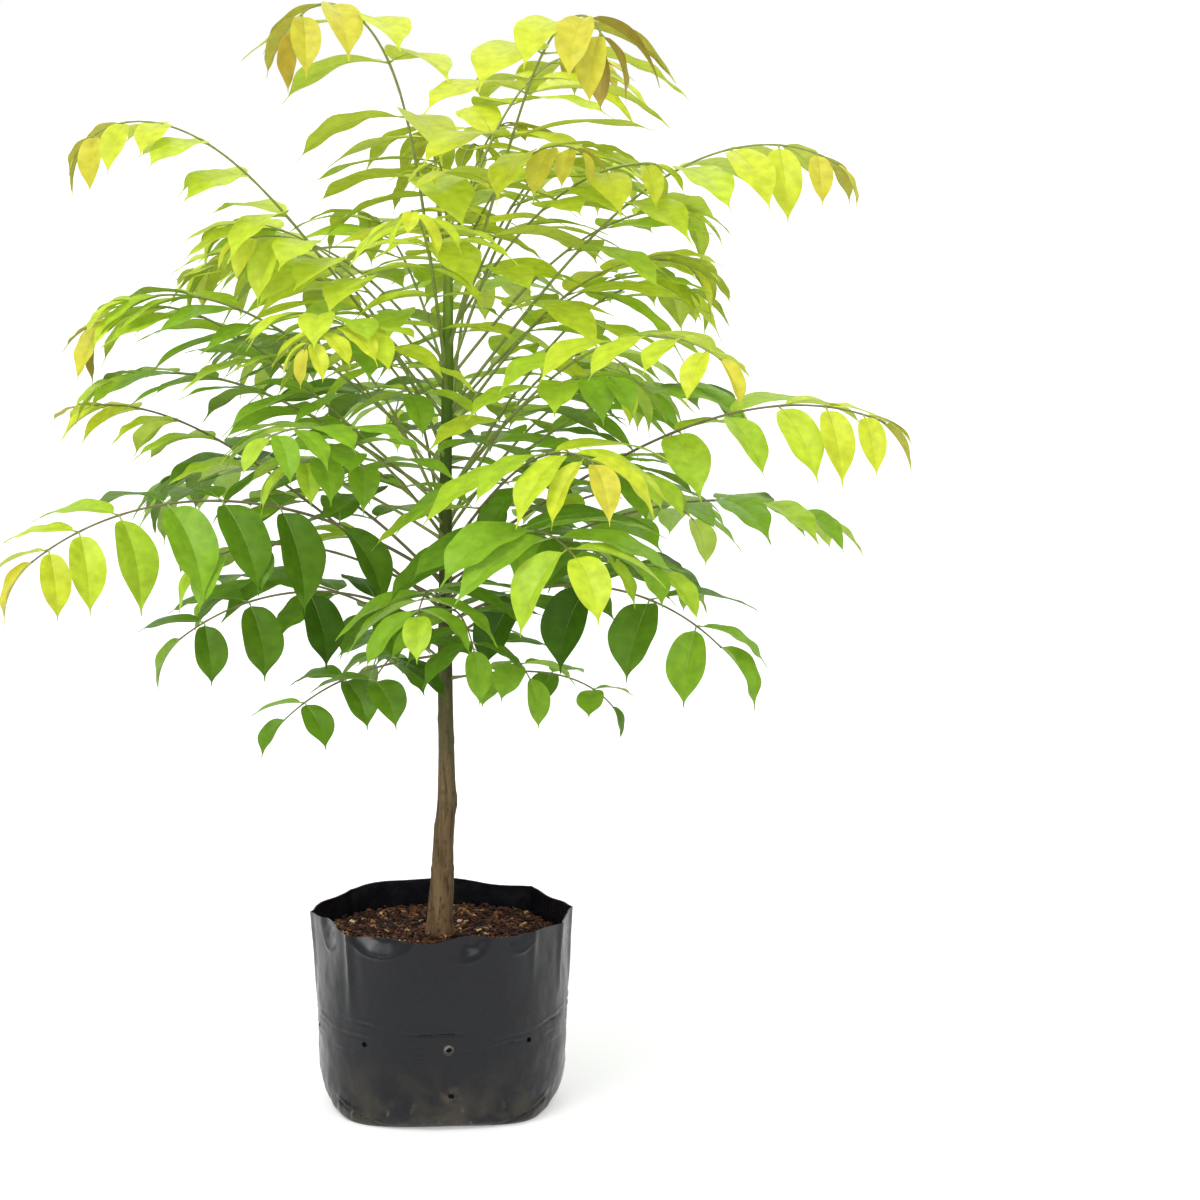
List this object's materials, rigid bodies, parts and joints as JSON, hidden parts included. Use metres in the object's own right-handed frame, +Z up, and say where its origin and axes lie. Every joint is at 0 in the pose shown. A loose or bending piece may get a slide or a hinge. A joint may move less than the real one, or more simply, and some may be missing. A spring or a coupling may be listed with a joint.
{
  "type": "potted june plum tree",
  "caption": "Young june plum tree: a slender trunk with arching pinnate fronds, deep green low down and lime at the top, in a round black nursery grow bag of soil.",
  "frame": {"origin": "centre of the grow bag's flat underside", "axes": "+Z up the trunk, +X to the right seen from the front, -Y to the front"},
  "size_m": [0.6866, 0.5599, 0.8321],
  "materials": {
    "bag_film": "satin film",
    "soil_mix": "rough",
    "bark": "rough",
    "leaf_deep": "satin",
    "leaf_green": "satin",
    "leaf_lime": "satin",
    "leaf_yellow": "satin"
  },
  "bodies": {
    "root": {"grow_bag": "bag_film", "soil": "soil_mix", "trunk": "bark", "frond_left_low_small": "leaf_deep", "frond_left_low": "leaf_deep", "frond_left_thin": "leaf_deep", "frond_right_low_small": "leaf_deep", "frond_right_low": "leaf_deep", "frond_right_mid": "leaf_deep", "frond_front_low": "leaf_deep", "frond_front_foot": "leaf_deep", "frond_front_foot_left": "leaf_deep", "frond_back_right_low": "leaf_deep", "frond_back_low_small": "leaf_deep", "frond_left_long": "leaf_deep", "frond_back_left_low": "leaf_deep", "frond_right_long": "leaf_green", "frond_front_mid": "leaf_green", "frond_left_mid": "leaf_green", "frond_right_bunch": "leaf_green", "frond_right_back_low": "leaf_green", "frond_back_right_mid": "leaf_green", "frond_back_left_mid": "leaf_green", "frond_back_mid": "leaf_green", "frond_back_left_inner": "leaf_green", "frond_front_left_mid": "leaf_green", "frond_left_high": "leaf_lime", "frond_left_back": "leaf_lime", "frond_front_left": "leaf_lime", "frond_right_back": "leaf_lime", "frond_right_high": "leaf_lime", "frond_back_high": "leaf_lime", "frond_back_left_high": "leaf_lime", "frond_back_right_high": "leaf_lime", "frond_front_high": "leaf_lime", "frond_top_left": "leaf_yellow", "frond_top_right": "leaf_yellow", "frond_tip_back": "leaf_yellow", "frond_tip_front": "leaf_yellow", "frond_back_top": "leaf_yellow"}
  },
  "joints": []
}
